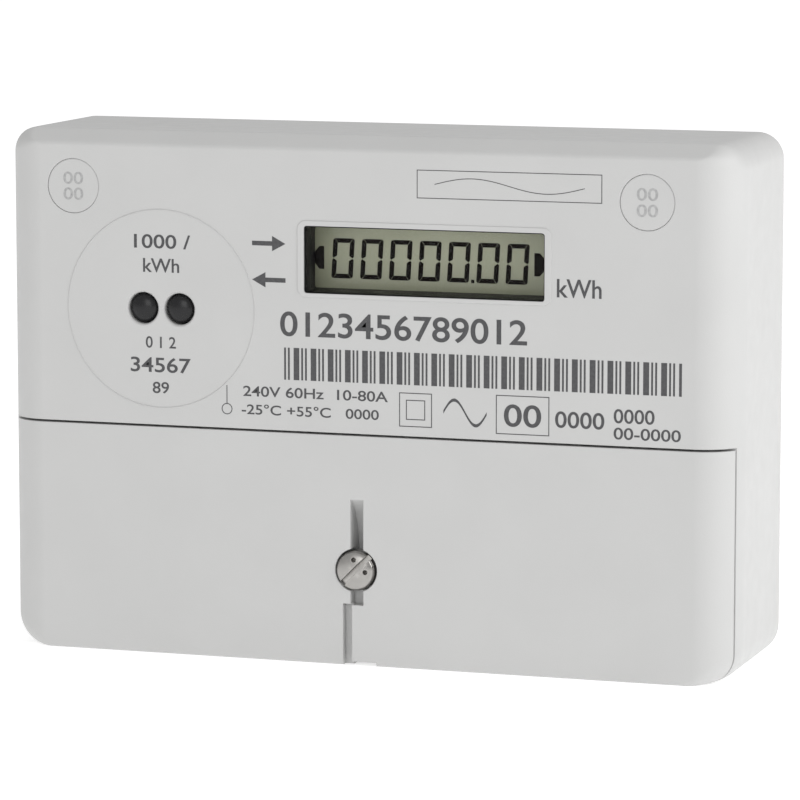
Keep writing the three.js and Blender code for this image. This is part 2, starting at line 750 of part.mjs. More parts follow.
addPiece('microcontroller', onBoardFront(...boxed.microcontroller), 'chip');
addPiece('metering_chip', onBoardFront(...boxed.meteringChip), 'chip');
addPiece('quartz_crystal', crystalCan(), 'can');
addPiece('dropper_capacitor', onBoardBack(...boxed.dropperCapacitor), 'filmCapacitor');
addPiece('storage_capacitor', capacitorCan(), 'sleeve');
addPiece('surge_varistor', varistor(), 'ceramic');
addPiece('bridge_rectifier', onBoardBack(...boxed.bridgeRectifier), 'chip');

export default group;
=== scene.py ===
import json
import math

import bmesh
import bpy
from mathutils import Matrix, Vector


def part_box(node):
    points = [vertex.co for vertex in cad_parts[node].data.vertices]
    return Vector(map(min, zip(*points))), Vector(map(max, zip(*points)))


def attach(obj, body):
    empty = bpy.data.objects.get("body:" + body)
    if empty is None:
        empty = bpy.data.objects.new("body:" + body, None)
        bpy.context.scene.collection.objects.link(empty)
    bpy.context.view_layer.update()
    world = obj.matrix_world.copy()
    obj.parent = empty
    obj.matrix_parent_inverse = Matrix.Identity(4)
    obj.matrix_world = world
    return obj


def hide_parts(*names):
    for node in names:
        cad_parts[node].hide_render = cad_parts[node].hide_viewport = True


# The look of a single-phase electricity meter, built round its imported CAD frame.
# Lengths are millimetres until place() scales a finished piece to metres.
# X runs across the face, Y from the face (low) to the wall (high), Z up.

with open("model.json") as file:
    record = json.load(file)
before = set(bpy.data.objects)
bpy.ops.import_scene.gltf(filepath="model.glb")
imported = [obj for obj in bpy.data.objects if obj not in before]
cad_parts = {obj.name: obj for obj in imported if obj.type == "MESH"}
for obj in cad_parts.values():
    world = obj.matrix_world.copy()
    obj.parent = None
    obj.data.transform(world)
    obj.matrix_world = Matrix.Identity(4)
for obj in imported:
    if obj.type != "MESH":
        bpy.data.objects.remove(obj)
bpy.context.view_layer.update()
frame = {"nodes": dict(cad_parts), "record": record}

MM = 0.001


def limits(node):
    """Lowest and highest corner of a CAD node, in millimetres."""
    low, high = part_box(node)
    return low / MM, high / MM


# ---------------------------------------------------------------- sizes taken from the frame

case_low, case_high = limits("main_cover")
cover_high = limits("terminal_cover")[1]
window_low, window_high = limits("display_window")
glass_low, glass_high = limits("display_glass")
well_low, well_high = limits("display_holder")
lock_low, lock_high = limits("terminal_cover_screw")
plug_low, plug_high = limits("seal_plug_left")


def centre(node):
    """The middle of a CAD node as seen from the front."""
    low, high = limits(node)
    return (low.x + high.x) / 2, (low.z + high.z) / 2


FRONT = case_low.y
BACK = case_high.y
SIDE = case_high.x
HEIGHT = case_high.z
WALL = 2.2
GAP = 0.3  # clearance between neighbouring pieces
PAST = 1.0  # how far a cutting body reaches past what it cuts

EDGE = 7.2  # radius of the upright front edges
LIP = 0.5  # radius of the top and bottom front edges
SLOPE_HIGH, SLOPE_DEEP = 2.2, 4.0  # the slope from the top down to the front edge
TOP_CORNER = 4.5
BOTTOM_CORNER = 5.5

SEAM_LOW = cover_high.z
SEAM_HIGH = SEAM_LOW + 0.4
SKIRT_BACK = FRONT + 3.7
INNER_FRONT = FRONT + WALL
SHELF_BACK = 3.0

FLANGE = 1.6  # how far the window's flange reaches behind the cover
OPENING = (window_low.x + FLANGE, window_high.x - FLANGE, window_low.z + FLANGE, window_high.z - FLANGE)

LOCK_X, LOCK_Z = centre("terminal_cover_screw")
LOCK_RADIUS = (lock_high.x - lock_low.x) / 2
LOCK_HEAD = 3.8  # height of the sealing screw's head

LENSES = [centre("infrared_emitter"), centre("infrared_receiver")]
LENS_RADIUS = 2.5
PORT_X = (LENSES[0][0] + LENSES[1][0]) / 2
PORT_Z = LENSES[0][1]
PORT_RADIUS = 17

PLUG_RADIUS = (plug_high.z - plug_low.z) / 2
PLUGS = {side: centre(f"seal_plug_{side}") for side in ("left", "right")}


# ---------------------------------------------------------------- mesh tools


def new_piece(name, bm):
    """Turns a bmesh into an object in the scene."""
    mesh = bpy.data.meshes.new(name)
    bm.to_mesh(mesh)
    bm.free()
    piece = bpy.data.objects.new(name, mesh)
    bpy.context.scene.collection.objects.link(piece)
    return piece


def loft(name, rings):
    """A closed body through rings of equally many points, capped at both ends."""
    bm = bmesh.new()
    loops = [[bm.verts.new(point) for point in ring] for ring in rings]
    for near, far in zip(loops, loops[1:]):
        for i in range(len(near)):
            j = (i + 1) % len(near)
            bm.faces.new((near[i], near[j], far[j], far[i]))
    bm.faces.new(loops[0])
    bm.faces.new(loops[-1])
    bmesh.ops.recalc_face_normals(bm, faces=bm.faces)
    return new_piece(name, bm)


def circle(x, z, radius, y, sides):
    angles = [2 * math.pi * i / sides for i in range(sides)]
    return [(x + radius * math.cos(a), y, z + radius * math.sin(a)) for a in angles]


def turned(name, x, z, profile, sides=64):
    """A body turned about a line along Y, through (radius, y) points."""
    return loft(name, [circle(x, z, max(radius, 0.01), y, sides) for radius, y in profile])


def rod(name, x, z, radius, y0, y1, sides=64):
    return turned(name, x, z, [(radius, y0), (radius, y1)], sides)


def rounded_ring(x0, x1, z0, z1, y, low_radius, high_radius, steps=8):
    """A rectangle of points with rounded corners, the lower two and the upper two apart."""
    corners = [
        (x1 - low_radius, z0 + low_radius, low_radius, -math.pi / 2),
        (x1 - high_radius, z1 - high_radius, high_radius, 0),
        (x0 + high_radius, z1 - high_radius, high_radius, math.pi / 2),
        (x0 + low_radius, z0 + low_radius, low_radius, math.pi),
    ]
    points = []
    for cx, cz, radius, start in corners:
        for k in range(steps + 1):
            angle = start + math.pi / 2 * k / steps
            points.append((cx + radius * math.cos(angle), y, cz + radius * math.sin(angle)))
    return points


def quarter(radius, steps):
    """Pairs of (distance from the end, inset from the side) round a quarter circle."""
    turns = [math.pi / 2 * k / steps for k in range(steps + 1)]
    return [(radius * (1 - math.cos(t)), radius * (1 - math.sin(t))) for t in turns]


def soft_block(name, x0, x1, y0, y1, z0, z1, corner=0.6, edge=0.2, steps=3):
    """A block with rounded upright corners and softened front and back edges."""
    rings = []
    for depth, inset in quarter(edge, steps):
        radius = max(corner - inset, 0.02)
        sides = (x0 + inset, x1 - inset, z0 + inset, z1 - inset)
        rings.append(rounded_ring(*sides, y0 + depth, radius, radius))
    for depth, inset in reversed(quarter(edge, steps)):
        radius = max(corner - inset, 0.02)
        sides = (x0 + inset, x1 - inset, z0 + inset, z1 - inset)
        rings.append(rounded_ring(*sides, y1 - depth, radius, radius))
    return loft(name, rings)


def block(name, x0, x1, y0, y1, z0, z1):
    """A sharp box, used to cut with."""
    rings = [[(x0, y, z0), (x1, y, z0), (x1, y, z1), (x0, y, z1)] for y in (y0, y1)]
    return loft(name, rings)


def bake(piece):
    """Replaces a piece's mesh by what its modifiers make of it."""
    shown = piece.evaluated_get(bpy.context.evaluated_depsgraph_get())
    mesh = bpy.data.meshes.new_from_object(shown)
    old = piece.data
    piece.modifiers.clear()
    piece.data = mesh
    bpy.data.meshes.remove(old)


def combine(piece, operation, *others):
    """Applies one boolean after another and removes the other bodies."""
    for other in others:
        modifier = piece.modifiers.new("combine", "BOOLEAN")
        modifier.operation = operation
        modifier.solver = "EXACT"
        modifier.object = other
    bake(piece)
    for other in others:
        bpy.data.objects.remove(other)
    return piece


def cut(piece, *cutters):
    return combine(piece, "DIFFERENCE", *cutters)


def add(piece, *others):
    return combine(piece, "UNION", *others)


def keep_within(piece, other):
    return combine(piece, "INTERSECT", other)


def place(piece, body, slot, look=None, replaces=(), sharp=35):
    """Scales a finished piece to metres, shades it, and ties it to the frame."""
    piece.data.transform(Matrix.Scale(MM, 4))
    for polygon in piece.data.polygons:
        polygon.use_smooth = True
    piece.data.set_sharp_from_angle(angle=math.radians(sharp))
    shading = piece.modifiers.new("shading", "WEIGHTED_NORMAL")
    shading.keep_sharp = True
    piece.data.materials.clear()
    piece.data.materials.append(look or looks[slot])
    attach(piece, body)
    if replaces:
        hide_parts(*replaces)
    return piece


# ---------------------------------------------------------------- material tools


class Recipe:
    """A material and short ways to add nodes to it."""

    def __init__(self, name):
        self.material = bpy.data.materials.new(name)
        self.material.use_nodes = True
        self.nodes = self.material.node_tree.nodes
        self.links = self.material.node_tree.links
        self.shader = self.nodes["Principled BSDF"]
        self.place = self.nodes.new("ShaderNodeTexCoord").outputs["Object"]

    def noise(self, size, detail=3.0, stretch=(1, 1, 1)):
        """Cloudy variation with features of about size millimetres."""
        mapping = self.nodes.new("ShaderNodeMapping")
        mapping.inputs["Scale"].default_value = stretch
        self.links.new(self.place, mapping.inputs["Vector"])
        noise = self.nodes.new("ShaderNodeTexNoise")
        noise.inputs["Scale"].default_value = 1 / (size * MM)
        noise.inputs["Detail"].default_value = detail
        self.links.new(mapping.outputs["Vector"], noise.inputs["Vector"])
        return noise.outputs["Fac"]

    def ramp(self, value, stops):
        ramp = self.nodes.new("ShaderNodeValToRGB")
        elements = ramp.color_ramp.elements
        while len(elements) < len(stops):
            elements.new(0.5)
        for element, (position, colour) in zip(elements, stops):
            element.position = position
            element.color = (*colour, 1)
        self.links.new(value, ramp.inputs["Fac"])
        return ramp.outputs["Color"]

    def mix(self, factor, first, second):
        """From the first colour to the second as factor goes from 0 to 1."""
        mix = self.nodes.new("ShaderNodeMix")
        mix.data_type = "RGBA"
        colour_a, colour_b = (socket for socket in mix.inputs if socket.type == "RGBA")
        self.links.new(factor, mix.inputs["Factor"])
        self.links.new(first, colour_a)
        self.links.new(second, colour_b)
        return next(socket for socket in mix.outputs if socket.type == "RGBA")

    def spread(self, value, low, high):
        spread = self.nodes.new("ShaderNodeMapRange")
        spread.inputs["From Min"].default_value = 0.3
        spread.inputs["From Max"].default_value = 0.7
        spread.inputs["To Min"].default_value = low
        spread.inputs["To Max"].default_value = high
        self.links.new(value, spread.inputs["Value"])
        return spread.outputs["Result"]

    def bump(self, value, depth, under=None):
        """Relief of about depth millimetres, over another relief if one is given."""
        bump = self.nodes.new("ShaderNodeBump")
        bump.inputs["Strength"].default_value = 1.0
        bump.inputs["Distance"].default_value = depth * MM
        self.links.new(value, bump.inputs["Height"])
        if under:
            self.links.new(under, bump.inputs["Normal"])
        return bump.outputs["Normal"]

    def soft_edges(self, radius):
        bevel = self.nodes.new("ShaderNodeBevel")
        bevel.samples = 4
        bevel.inputs["Radius"].default_value = radius * MM
        return bevel.outputs["Normal"]

    def edges(self):
        """High on outer edges, where a painted highlight and wear go; low in corners."""
        return self.nodes.new("ShaderNodeNewGeometry").outputs["Pointiness"]

    def set(self, **sockets):
        """Sets shader sockets, by link or by constant; underscores stand for spaces."""
        for name, value in sockets.items():
            socket = self.shader.inputs[name.replace("_", " ")]
            if isinstance(value, bpy.types.NodeSocket):
                self.links.new(value, socket)
            else:
                socket.default_value = value


def shade(colour, factor):
    return tuple(min(channel * factor, 1.0) for channel in colour)


def moulding(name, colour, roughness, grain=0.012, spotted=0.03, specular=0.4):
    """Moulded plastic: fine grain, faint clouds in tone and gloss, softened edges."""
    recipe = Recipe(name)
    clouds = recipe.noise(14, detail=4)
    grains = recipe.noise(0.28, detail=2)
    tone = recipe.ramp(clouds, [(0.3, shade(colour, 1 - spotted)), (0.7, shade(colour, 1 + spotted))])
    relief = recipe.bump(grains, grain, recipe.soft_edges(0.18))
    gloss = recipe.spread(recipe.noise(3, detail=5), roughness - 0.05, roughness + 0.06)
    recipe.set(Base_Color=tone, Roughness=gloss, Normal=relief, Specular_IOR_Level=specular)
    return recipe.material


def metal(name, colour, roughness, brushed=(1, 1, 1), scratch=0.004, edge_highlight=1.25):
    """Bare or plated metal: drawn or turned marks, dull patches, and outer edges painted brighter as a
    highlight and as wear.
    """
    recipe = Recipe(name)
    marks = recipe.noise(0.25, detail=6, stretch=brushed)
    patches = recipe.noise(2.5, detail=4)
    tone = recipe.ramp(patches, [(0.3, shade(colour, 0.82)), (0.6, colour), (0.75, shade(colour, 1.08))])
    # convex edges painted brighter: a painted highlight along the edges, standing also for worn plating
    edge_highlight_mask = recipe.ramp(recipe.edges(), [(0.5, (0, 0, 0)), (0.56, (1, 1, 1))])
    highlight_colour = recipe.ramp(marks, [(0.2, shade(colour, edge_highlight)), (0.8, shade(colour, edge_highlight * 0.9))])
    relief = recipe.bump(marks, scratch, recipe.soft_edges(0.12))
    gloss = recipe.spread(patches, roughness - 0.08, roughness + 0.12)
    recipe.set(Base_Color=recipe.mix(edge_highlight_mask, tone, highlight_colour), Metallic=1.0, Roughness=gloss, Normal=relief)
    return recipe.material


def glossy(name, colour, roughness, coat=0.3, specular=0.5):
    """Smooth coated or dipped surface with slight waves and dust."""
    recipe = Recipe(name)
    waves = recipe.noise(1.6, detail=2)
    dust = recipe.noise(0.2, detail=5)
    tone = recipe.ramp(waves, [(0.3, shade(colour, 0.92)), (0.7, shade(colour, 1.08))])
    relief = recipe.bump(waves, 0.01, recipe.soft_edges(0.1))
    gloss = recipe.spread(dust, roughness, roughness + 0.12)
    recipe.set(Base_Color=tone, Roughness=gloss, Normal=relief)
    recipe.set(Specular_IOR_Level=specular, Coat_Weight=coat, Coat_Roughness=0.08)
    return recipe.material


def clear_window():
    """Clear moulding, nearly invisible, with a trace of dust."""
    recipe = Recipe("window_clear")
    dust = recipe.noise(0.6, detail=6)
    relief = recipe.bump(recipe.noise(9, detail=1), 0.01)
    tone = recipe.ramp(dust, [(0.35, (0.02, 0.02, 0.02)), (0.7, (0.05, 0.05, 0.05))])
    recipe.set(Base_Color=tone, Roughness=recipe.spread(dust, 0.03, 0.09), Normal=relief)
    recipe.set(Alpha=recipe.spread(dust, 0.04, 0.07))
    return recipe.material


def liquid_crystal_glass():
    """Olive-grey glass with a faint cell pattern behind a polished face."""
    recipe = Recipe("display_glass")
    cells = recipe.noise(0.35, detail=4, stretch=(1, 1, 3))
    cloud = recipe.noise(12, detail=2)
    base = recipe.ramp(cloud, [(0.3, (0.42, 0.44, 0.30)), (0.7, (0.46, 0.48, 0.335))])
    relief = recipe.bump(cells, 0.004)
    recipe.set(Base_Color=base, Roughness=recipe.spread(cells, 0.22, 0.34), Normal=relief)
    recipe.set(Coat_Weight=0.35, Coat_Roughness=0.03)
    return recipe.material


def ink(name, colour, uneven=0.15, specular=0.3):
    """Printed ink, slightly uneven."""
    recipe = Recipe(name)
    blot = recipe.noise(0.5, detail=5)
    tone = recipe.ramp(blot, [(0.3, shade(colour, 1 - uneven)), (0.75, shade(colour, 1 + 2 * uneven))])
    recipe.set(Base_Color=tone, Roughness=recipe.spread(blot, 0.45, 0.6), Normal=recipe.bump(blot, 0.0005))
    recipe.set(Specular_IOR_Level=specular)
    return recipe.material


def circuit_laminate():
    """Green solder mask over a hint of tracks."""
    recipe = Recipe("board")
    weave = recipe.noise(0.9, detail=2, stretch=(1, 1, 5))
    tracks = recipe.noise(2.2, detail=0, stretch=(3, 1, 1))
    mask, track = (0.012, 0.09, 0.035), (0.02, 0.14, 0.06)
    tone = recipe.ramp(tracks, [(0.46, mask), (0.5, track), (0.54, mask)])
    recipe.set(Base_Color=tone, Roughness=recipe.spread(weave, 0.3, 0.45), Normal=recipe.bump(tracks, 0.03))
    return recipe.material


CASE_GREY = (0.52, 0.52, 0.515)

DARK_GREY = (0.006, 0.006, 0.007)

looks = {
    "case_moulding": moulding("case_moulding", CASE_GREY, 0.46, spotted=0.015),
    "base_moulding": moulding("base_moulding", (0.55, 0.55, 0.54), 0.5, grain=0.02),
    "terminal_moulding": moulding("terminal_moulding", (0.028, 0.028, 0.031), 0.45, 0.03, spotted=0.15),
    "window_clear": clear_window(),
    "display_glass": liquid_crystal_glass(),
    "dark_moulding": moulding("dark_moulding", DARK_GREY, 0.4, grain=0.01, spotted=0.1, specular=0.1),
    "lens_black": glossy("lens_black", DARK_GREY, 0.22, coat=0.05, specular=0.35),
    "contact_rubber": moulding("contact_rubber", (0.06, 0.06, 0.065), 0.75, spotted=0.1),
    "plated_steel": metal("plated_steel", (0.36, 0.35, 0.335), 0.27),
    "brass": metal("brass", (0.66, 0.48, 0.21), 0.32, brushed=(0.25, 2, 2)),
    "copper": metal("copper", (0.70, 0.33, 0.19), 0.33, brushed=(0.2, 2, 2)),
    "resistance_alloy": metal("resistance_alloy", (0.46, 0.41, 0.36), 0.38, brushed=(0.2, 2, 2)),
    "board": circuit_laminate(),
    "chip_black": moulding("chip_black", (0.014, 0.014, 0.015), 0.55, grain=0.02, spotted=0.15),
    "can_metal": metal("can_metal", (0.64, 0.65, 0.67), 0.28),
    "film_yellow": glossy("film_yellow", (0.55, 0.33, 0.03), 0.3),
    "sleeve_blue": glossy("sleeve_blue", (0.02, 0.03, 0.08), 0.3),
    "ceramic_blue": glossy("ceramic_blue", (0.03, 0.12, 0.28), 0.35),
    "wire_red": glossy("wire_red", (0.4, 0.03, 0.025), 0.35, coat=0.1),
    "wire_blue": glossy("wire_blue", (0.03, 0.07, 0.32), 0.35, coat=0.1),
}
print_ink = ink("print_ink", (0.07, 0.07, 0.073))
line_ink = ink("line_ink", (0.36, 0.36, 0.36))
segment_ink = ink("segment_ink", (0.006, 0.004, 0.003), uneven=0.05, specular=0.03)

for subpart in frame["record"]["subparts"]:
    node = frame["nodes"][subpart["node"]]
    node.data.materials.clear()
    node.data.materials.append(looks[subpart["material_slot"]])


# ---------------------------------------------------------------- the two covers


def case_body(name, inset, y_back, steps=28):
    """The case outline drawn in by inset: shaped along the front edges, straight behind them."""
    rings = []
    for depth, side_inset in quarter(EDGE - inset, steps):
        rest = max(LIP - depth, 0.0)
        low_inset = LIP - math.sqrt(LIP**2 - rest**2)
        high_inset = low_inset + SLOPE_HIGH * max(1 - depth / SLOPE_DEEP, 0.0)
        rings.append(
            rounded_ring(
                inset + side_inset - SIDE,
                SIDE - inset - side_inset,
                inset + low_inset,
                HEIGHT - inset - high_inset,
                FRONT + inset + depth,
                max(BOTTOM_CORNER - inset - (side_inset + low_inset) / 2, 0.5),
                max(TOP_CORNER - inset - (side_inset + high_inset) / 2, 0.5),
                steps=10,
            )
        )
    last = rings[-1]
    rings.append([(x, y_back, z) for x, _, z in last])
    return loft(name, rings)


def everywhere(name, y0, y1, z0, z1):
    """A block wider than the case."""
    return block(name, -SIDE - 5, SIDE + 5, y0, y1, z0, z1)


def port_bead(half=0.18, high=0.09, sunk=0.1, sides=160):
    """The low bead moulded round the optical port, as a ring of triangular section."""
    bm = bmesh.new()
    foot = FRONT + sunk
    section = [(PORT_RADIUS, FRONT - high), (PORT_RADIUS + half, foot), (PORT_RADIUS - half, foot)]
    circles = [circle(PORT_X, PORT_Z, radius, y, sides) for radius, y in section]
    rings = [[bm.verts.new(point) for point in points] for points in circles]
    for near, far in zip(rings, rings[1:] + rings[:1]):
        for i in range(len(near)):
            j = (i + 1) % len(near)
            bm.faces.new((near[i], near[j], far[j], far[i]))
    bmesh.ops.recalc_face_normals(bm, faces=bm.faces)
    return new_piece("bead", bm)


def window_rim():
    """The slightly raised frame round the window."""
    x0, x1, z0, z1 = OPENING
    beside, below, above, high = 1.2, 0.7, 0.9, 0.14
    outline = (x0 - beside, x1 + beside, FRONT - high, INNER_FRONT, z0 - below, z1 + above)
    return soft_block("rim", *outline, corner=1.5, edge=0.13)


def build_main_cover():
    cover = case_body("main_cover_shell", 0, BACK)
    cut(cover, case_body("hollow", WALL, BACK + PAST))
    cut(cover, everywhere("terminal_opening", FRONT - PAST, SKIRT_BACK + GAP, -PAST, SEAM_HIGH))
    shelf = everywhere("shelf", FRONT, SHELF_BACK, SEAM_HIGH, SEAM_HIGH + 2)
    add(cover, keep_within(shelf, case_body("shelf_limit", WALL / 2, BACK)))
    add(cover, window_rim(), port_bead())
    x0, x1, z0, z1 = OPENING
    through = (FRONT - PAST, INNER_FRONT + PAST)
    cutters = [soft_block("opening", x0, x1, *through, z0, z1, corner=0.5, edge=0.02)]
    for x, z in LENSES:
        flare = [
            (LENS_RADIUS + 0.65, FRONT - 0.1),
            (LENS_RADIUS + 0.35, FRONT + 0.12),
            (LENS_RADIUS + 0.2, FRONT + 0.4),
            (LENS_RADIUS + 0.2, INNER_FRONT + PAST),
        ]
        cutters.append(turned("lens_hole", x, z, flare))
    plug_gap, boss_depth, hole_depth = 0.05, 12, 7
    for x, z in PLUGS.values():
        add(cover, rod("boss", x, z, PLUG_RADIUS + WALL, INNER_FRONT - 0.5, FRONT + boss_depth))
        cutters.append(rod("plug_hole", x, z, PLUG_RADIUS + plug_gap, FRONT - PAST, FRONT + hole_depth))
    for opening in frame["record"]["physics"]["openings"]:
        if opening["name"].startswith("cable_entry"):
            low, high = (Vector(corner) / MM for corner in opening["box_m"])
            cutters.append(cable_hole((low.x + high.x) / 2, (low.y + high.y) / 2))
    cut(cover, *cutters)
    return place(cover, "meter_body", "case_moulding", replaces=["main_cover"])


def cable_hole(x, y, radius=5.6):
    """An upright rod that opens the floor of the case for a cable."""
    hole = rod("cable_hole", 0, 0, radius, -WALL - PAST, PAST)
    hole.data.transform(Matrix.Translation((x, y, 0)) @ Matrix.Rotation(-math.pi / 2, 4, "X"))
    return hole


def sealing_grooves():
    """The disc-cut groove above the screw, and the stepped one below it that runs out at the bottom."""
    disc_radius, disc_depth, disc_top = 10, 4.5, 28.5
    reach = disc_radius - disc_depth
    disc_z = disc_top - math.sqrt(disc_radius**2 - reach**2)
    channel = (LOCK_X - 0.8, LOCK_X + 1.5)
    channel_depth, step_depth = 2.4, 1.6
    step_z = 10.5
    step = (LOCK_X - 2.15, LOCK_X - 0.55)
    notch_right, notch_high = LOCK_X + 3.8, 0.65
    disc = turned("disc", 0, 0, [(disc_radius, channel[0]), (disc_radius, channel[1])], sides=128)
    disc_place = Matrix.Translation((0, FRONT - reach, disc_z))
    disc.data.transform(disc_place @ Matrix.Rotation(-math.pi / 2, 4, "Z"))
    upper = block("upper", channel[0] - 1, channel[1] + 1, FRONT - 6, 0, LOCK_Z, disc_top + PAST)
    return [
        keep_within(disc, upper),
        block("channel", *channel, FRONT - PAST, FRONT + channel_depth, step_z - 0.1, LOCK_Z),
        block("step", *step, FRONT - PAST, FRONT + step_depth, -PAST, step_z + 0.1),
        block("notch", step[1] - 0.1, notch_right, FRONT - PAST, SKIRT_BACK + PAST, -PAST, notch_high),
    ]


def build_terminal_cover():
    cover = case_body("terminal_cover_shell", 0, BACK)
    keep_within(cover, everywhere("skirt", FRONT - PAST, SKIRT_BACK, -PAST, SEAM_LOW))
    inside = case_body("inside", WALL, BACK)
    cut(cover, keep_within(inside, everywhere("inside_limit", FRONT, BACK, -PAST, SEAM_LOW - WALL)))
    boss_half, boss_low, boss_high = 6.5, 6, 31
    boss_sides = (LOCK_X - boss_half, LOCK_X + boss_half)
    boss_depth = (INNER_FRONT - 0.5, cover_high.y)
    add(cover, soft_block("boss", *boss_sides, *boss_depth, boss_low, boss_high, corner=1.5))
    seat = lock_low.y + LOCK_HEAD + GAP
    shank_radius, washer_radius, seat_thickness = 2.3, 4.3, 1.2
    recess_gap, recess_flare = 0.32, 0.5
    recess = [
        (LOCK_RADIUS + recess_flare, FRONT - 0.1),
        (LOCK_RADIUS + recess_gap, FRONT + 0.1),
        (LOCK_RADIUS + recess_gap, seat),
    ]
    aside, above = 0.18, 0.1  # the recess is slightly off the screw's axis
    cut(
        cover,
        turned("recess", LOCK_X + aside, LOCK_Z + above, recess),
        rod("shank_hole", LOCK_X, LOCK_Z, shank_radius, seat - PAST, 0),
        rod("washer_room", LOCK_X, LOCK_Z, washer_radius, seat + seat_thickness, 0),
        *sealing_grooves(),
    )
    return place(cover, "terminal_cover", "case_moulding", replaces=["terminal_cover"])


# ---------------------------------------------------------------- screws, plugs and lenses


def threaded_profile(radius, y0, y1, pitch, depth):
    """The ridges of a screw thread, as (radius, y) points."""
    points = []
    y = y0
    while y + pitch < y1:
        points += [(radius - depth, y), (radius, y + pitch * 0.45), (radius, y + pitch * 0.6)]
        y += pitch
    return [*points, (radius - depth, y), (radius - depth - 0.3, y1)]


def dome_profile(radius, height, y0, steps=10):
    turns = [math.pi / 2 * k / steps for k in range(steps + 1)]
    return [(radius * math.sin(t), y0 + height * (1 - math.cos(t))) for t in turns]


def build_screw(name, node, head, shank, slot_angle, pitch):
    """A slotted screw: domed head, then a threaded shank up to the CAD screw's end.

    The screw's node and its body have the same name.
    """
    low, high = limits(node)
    x, z = (low.x + high.x) / 2, (low.z + high.z) / 2
    radius = (high.x - low.x) / 2
    chamfer = 0.15
    profile = [
        *dome_profile(radius - chamfer, head["dome"], low.y),
        (radius, low.y + head["dome"] + chamfer),
        (radius, low.y + head["height"] - chamfer),
        (radius - chamfer, low.y + head["height"]),
        (shank, low.y + head["height"]),
        *threaded_profile(shank, low.y + head["height"] + 0.5, high.y, pitch, pitch * 0.4),
    ]
    screw = turned(name, x, z, profile, sides=72)
    depth = head["slot_depth"]
    half = head["slot_width"] / 2
    slot = block("slot", -radius - 1, radius + 1, low.y - PAST, low.y + depth, -half, half)
    slot.data.transform(Matrix.Translation((x, 0, z)) @ Matrix.Rotation(-slot_angle, 4, "Y"))
    hole_radius, hole_depth = 0.42, 1.9
    holes = [
        rod("wire_hole", x + dx, z + dz, hole_radius, low.y - PAST, low.y + hole_depth, 24)
        for dx, dz in head["holes"]
    ]
    cut(screw, slot, *holes)
    return place(screw, node, "plated_steel", replaces=[node])


def build_cover_screw():
    """The sealing screw, with two holes beside its slot for the sealing wire."""
    offset, spread = 1.35, 1.45
    diagonal = math.sqrt(0.5)
    holes = [(diagonal * (offset + s * spread), diagonal * (offset - s * spread)) for s in (-1, 1)]
    head = {"dome": 0.85, "height": LOCK_HEAD, "slot_width": 1.0, "slot_depth": 1.9, "holes": holes}
    build_screw("cover_screw", "terminal_cover_screw", head, shank=1.95, slot_angle=math.pi / 4, pitch=0.7)


def build_clamp_screws():
    head = {"dome": 0.4, "height": 2.5, "slot_width": 1.1, "slot_depth": 1.4, "holes": []}
    for number in range(1, 5):
        for level, angle in (("lower", number - 0.5), ("upper", 2.4 - number)):
            node = f"clamp_screw_{number}_{level}"
            build_screw(f"{node}_turned", node, head, shank=2.95, slot_angle=angle, pitch=1.0)


def build_plug(side, x, z):
    """The disc pressed over a case screw, with a light number on it."""
    profile = [
        (PLUG_RADIUS - 0.2, FRONT + 0.02),
        (PLUG_RADIUS, FRONT + 0.12),
        (PLUG_RADIUS, FRONT + 2.4),
        (3.2, FRONT + 2.4),
        (3.2, FRONT + 4),
    ]
    plug = turned(f"plug_{side}", x, z, profile, sides=96)
    half, near, far = 2.5, 0.3, 2.4
    marks = [
        words("00", x - half, x + half, bottom, bottom + far - near, FRONT + 0.005)
        for bottom in (z + near, z - far)
    ]
    place(plug, "meter_body", "case_moulding", replaces=[f"seal_plug_{side}"])
    place(join(f"plug_mark_{side}", marks), "meter_body", "dark_moulding", look=line_ink)


def build_lenses():
    for node, (x, z) in zip(("infrared_emitter", "infrared_receiver"), LENSES):
        _, high = limits(node)
        profile = [
            *dome_profile(LENS_RADIUS, 1.1, FRONT - 0.05, steps=16),
            (LENS_RADIUS, FRONT + 7.8),
            (LENS_RADIUS + 0.4, FRONT + 7.9),
            (LENS_RADIUS + 0.4, FRONT + 9.1),
        ]
        lens = turned(f"{node}_lens", x, z, profile)
        leg_limits = (FRONT + 9, high.y, z - 0.25, z + 0.25)
        add(lens, *[block("leg", x + dx - 0.25, x + dx + 0.25, *leg_limits) for dx in (-1.27, 1.27)])
        place(lens, "meter_body", "lens_black", replaces=[node])


# ---------------------------------------------------------------- flat marks


def flat(name, outlines, y):
    """Thin printed shapes: each outline is a list of (x, z) points."""
    bm = bmesh.new()
    for outline in outlines:
        bm.faces.new([bm.verts.new((x, y, z)) for x, z in outline])
    for face in bm.faces:
        if face.normal.y > 0:
            face.normal_flip()
    return new_piece(name, bm)


def join(name, pieces):
    """One mesh from several, keeping them as separate shells."""
    bm = bmesh.new()
    for piece in pieces:
        bm.from_mesh(piece.data)
        bpy.data.objects.remove(piece)
    return new_piece(name, bm)


